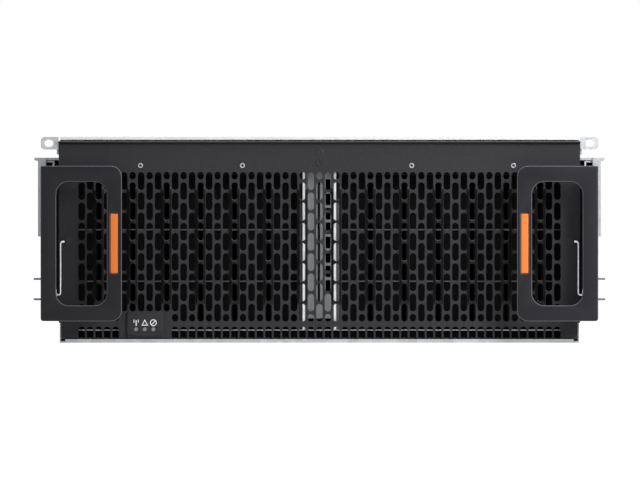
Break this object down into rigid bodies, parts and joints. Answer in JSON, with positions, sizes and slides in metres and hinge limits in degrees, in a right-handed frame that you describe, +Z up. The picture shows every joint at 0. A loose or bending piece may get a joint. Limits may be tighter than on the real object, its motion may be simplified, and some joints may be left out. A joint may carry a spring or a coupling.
{
  "type": "disk shelf enclosure",
  "caption": "Rack-mount drive shelf with a ribbed slotted bezel, side handles, hinged top lids, drives, fans, power supplies, controller modules and slide rails.",
  "frame": {"origin": "centre of the footprint at the underside of the base pan", "axes": "+X to the right, +Y to the rear, +Z up; the bezel faces -Y"},
  "size_m": [0.4934, 1.0736, 0.177],
  "materials": {
    "black_sheet": "fine textured powder coat, satin",
    "black_handle": "fine textured powder coat, satin",
    "zinc_sheet": "galvanised sheet steel",
    "zinc_bright": "bright zinc plate",
    "rail_steel": "zinc plated, rolled",
    "orange_plastic": "moulded, matte",
    "black_plastic": "moulded, fine spark texture",
    "grey_plastic": "moulded, matte",
    "light_pipe": "frosted light pipe",
    "board_green": "glass-epoxy circuit board with solder mask",
    "drive_metal": "cast drive case, dull",
    "steel_pin": "ground steel",
    "fan_plastic": "glass-filled moulding",
    "psu_case": "plated sheet steel"
  },
  "bodies": {
    "chassis": {"base_pan": "zinc_sheet", "baseplane_standoffs": "zinc_bright", "baseplanes": "board_green", "bay_beam": "zinc_sheet", "bezel_screws": "zinc_bright", "centre_duct": "zinc_sheet", "cross_beam": "zinc_sheet", "drive_cages": "zinc_sheet", "drive_carriers": "grey_plastic", "drive_connectors": "black_plastic", "drives_front": "drive_metal", "drives_rear": "drive_metal", "duct_panel": "zinc_sheet", "ear_brackets": "black_sheet", "front_bezel": "black_sheet", "front_sill": "zinc_sheet", "handle_left": "black_handle", "handle_right": "black_handle", "indicator_panel": "black_plastic", "lid_hinge_pins": "steel_pin", "light_pipes": "light_pipe", "midplane": "board_green", "rack_tabs": "zinc_bright", "rail_inners": "rail_steel", "rear_frame": "zinc_sheet", "rear_top_panel": "zinc_bright", "release_housings": "black_plastic"},
    "front_lid": {"front_lid": "zinc_bright"},
    "rear_lid": {"rear_lid": "zinc_bright"},
    "rail_outer_right": {"rail_outer_right": "rail_steel"},
    "rail_outer_left": {"rail_outer_left": "rail_steel"},
    "rail_middle_right": {"rail_middle_right": "rail_steel"},
    "rail_middle_left": {"rail_middle_left": "rail_steel"},
    "release_button_right": {"release_button_right": "orange_plastic"},
    "release_button_left": {"release_button_left": "orange_plastic"},
    "rack_hook_right": {"rack_hook_right": "zinc_bright", "latch_link_right": "zinc_bright"},
    "rack_hook_left": {"rack_hook_left": "zinc_bright", "latch_link_left": "zinc_bright"},
    "fan_module_1": {"fan_module_1": "fan_plastic"},
    "fan_rotor_1": {"fan_rotor_1": "fan_plastic"},
    "fan_module_2": {"fan_module_2": "fan_plastic"},
    "fan_rotor_2": {"fan_rotor_2": "fan_plastic"},
    "fan_module_3": {"fan_module_3": "fan_plastic"},
    "fan_rotor_3": {"fan_rotor_3": "fan_plastic"},
    "fan_module_4": {"fan_module_4": "fan_plastic"},
    "fan_rotor_4": {"fan_rotor_4": "fan_plastic"},
    "psu_1": {"psu_1": "psu_case"},
    "psu_bail_1": {"psu_bail_1": "black_handle"},
    "psu_release_1": {"psu_release_1": "orange_plastic"},
    "io_module_1": {"io_module_1": "zinc_sheet", "io_board_1": "board_green"},
    "io_lever_1": {"io_lever_1": "zinc_sheet"},
    "psu_2": {"psu_2": "psu_case"},
    "psu_bail_2": {"psu_bail_2": "black_handle"},
    "psu_release_2": {"psu_release_2": "orange_plastic"},
    "io_module_2": {"io_module_2": "zinc_sheet", "io_board_2": "board_green"},
    "io_lever_2": {"io_lever_2": "zinc_sheet"}
  },
  "joints": [
    {"name": "front_lid_hinge", "type": "hinge", "parent": "chassis", "child": "front_lid", "pos_m": [0, -0.14925, 0.1733], "axis": [-1, 0, 0], "range_deg": [0, 90]},
    {"name": "rear_lid_hinge", "type": "hinge", "parent": "chassis", "child": "rear_lid", "pos_m": [0, 0.29875, 0.1733], "axis": [-1, 0, 0], "range_deg": [0, 90]},
    {"name": "rail_outer_right_slide", "type": "slide", "parent": "chassis", "child": "rail_outer_right", "axis": [0, 1, 0], "range_m": [0, 0.86]},
    {"name": "rail_middle_right_slide", "type": "slide", "parent": "chassis", "child": "rail_middle_right", "axis": [0, 1, 0], "range_m": [0, 0.43]},
    {"name": "release_button_right_press", "type": "slide", "parent": "chassis", "child": "release_button_right", "axis": [0, 1, 0], "range_m": [0, 0.003], "stiffness_N_per_m": 400},
    {"name": "rack_hook_right_slide", "type": "slide", "parent": "chassis", "child": "rack_hook_right", "axis": [-1, 0, 0], "range_m": [0, 0.004]},
    {"name": "rail_outer_left_slide", "type": "slide", "parent": "chassis", "child": "rail_outer_left", "axis": [0, 1, 0], "range_m": [0, 0.86]},
    {"name": "rail_middle_left_slide", "type": "slide", "parent": "chassis", "child": "rail_middle_left", "axis": [0, 1, 0], "range_m": [0, 0.43]},
    {"name": "release_button_left_press", "type": "slide", "parent": "chassis", "child": "release_button_left", "axis": [0, 1, 0], "range_m": [0, 0.003], "stiffness_N_per_m": 400},
    {"name": "rack_hook_left_slide", "type": "slide", "parent": "chassis", "child": "rack_hook_left", "axis": [1, 0, 0], "range_m": [0, 0.004]},
    {"name": "fan_module_1_slide", "type": "slide", "parent": "chassis", "child": "fan_module_1", "axis": [0, 1, 0], "range_m": [0, 0.08]},
    {"name": "fan_rotor_1_spin", "type": "hinge", "parent": "fan_module_1", "child": "fan_rotor_1", "pos_m": [-0.16575, 0.48175, 0.12995], "axis": [0, 1, 0], "continuous": true},
    {"name": "fan_module_2_slide", "type": "slide", "parent": "chassis", "child": "fan_module_2", "axis": [0, 1, 0], "range_m": [0, 0.08]},
    {"name": "fan_rotor_2_spin", "type": "hinge", "parent": "fan_module_2", "child": "fan_rotor_2", "pos_m": [-0.05525, 0.48175, 0.12995], "axis": [0, 1, 0], "continuous": true},
    {"name": "fan_module_3_slide", "type": "slide", "parent": "chassis", "child": "fan_module_3", "axis": [0, 1, 0], "range_m": [0, 0.08]},
    {"name": "fan_rotor_3_spin", "type": "hinge", "parent": "fan_module_3", "child": "fan_rotor_3", "pos_m": [0.05525, 0.48175, 0.12995], "axis": [0, 1, 0], "continuous": true},
    {"name": "fan_module_4_slide", "type": "slide", "parent": "chassis", "child": "fan_module_4", "axis": [0, 1, 0], "range_m": [0, 0.08]},
    {"name": "fan_rotor_4_spin", "type": "hinge", "parent": "fan_module_4", "child": "fan_rotor_4", "pos_m": [0.16575, 0.48175, 0.12995], "axis": [0, 1, 0], "continuous": true},
    {"name": "psu_1_slide", "type": "slide", "parent": "chassis", "child": "psu_1", "axis": [0, 1, 0], "range_m": [0, 0.22]},
    {"name": "psu_bail_1_swing", "type": "hinge", "parent": "psu_1", "child": "psu_bail_1", "pos_m": [-0.177, 0.52875, 0.0739], "axis": [1, 0, 0], "range_deg": [0, 90]},
    {"name": "psu_release_1_press", "type": "slide", "parent": "psu_1", "child": "psu_release_1", "axis": [-1, 0, 0], "range_m": [0, 0.003], "stiffness_N_per_m": 300},
    {"name": "io_module_1_slide", "type": "slide", "parent": "chassis", "child": "io_module_1", "axis": [0, 1, 0], "range_m": [0, 0.22]},
    {"name": "io_lever_1_swing", "type": "hinge", "parent": "io_module_1", "child": "io_lever_1", "pos_m": [-0.009, 0.52575, 0.0139], "axis": [0, 0, -1], "range_deg": [0, 70]},
    {"name": "psu_2_slide", "type": "slide", "parent": "chassis", "child": "psu_2", "axis": [0, 1, 0], "range_m": [0, 0.22]},
    {"name": "psu_bail_2_swing", "type": "hinge", "parent": "psu_2", "child": "psu_bail_2", "pos_m": [0.177, 0.52875, 0.0739], "axis": [1, 0, 0], "range_deg": [0, 90]},
    {"name": "psu_release_2_press", "type": "slide", "parent": "psu_2", "child": "psu_release_2", "axis": [-1, 0, 0], "range_m": [0, 0.003], "stiffness_N_per_m": 300},
    {"name": "io_module_2_slide", "type": "slide", "parent": "chassis", "child": "io_module_2", "axis": [0, 1, 0], "range_m": [0, 0.22]},
    {"name": "io_lever_2_swing", "type": "hinge", "parent": "io_module_2", "child": "io_lever_2", "pos_m": [0.124, 0.52575, 0.0139], "axis": [0, 0, -1], "range_deg": [0, 70]}
  ],
  "couplings": [
    {"joint": "rail_middle_right_slide", "follows": "rail_outer_right_slide", "ratio": 0.5},
    {"joint": "rack_hook_right_slide", "follows": "release_button_right_press", "ratio": 1.3333},
    {"joint": "rail_middle_left_slide", "follows": "rail_outer_left_slide", "ratio": 0.5},
    {"joint": "rack_hook_left_slide", "follows": "release_button_left_press", "ratio": 1.3333}
  ]
}
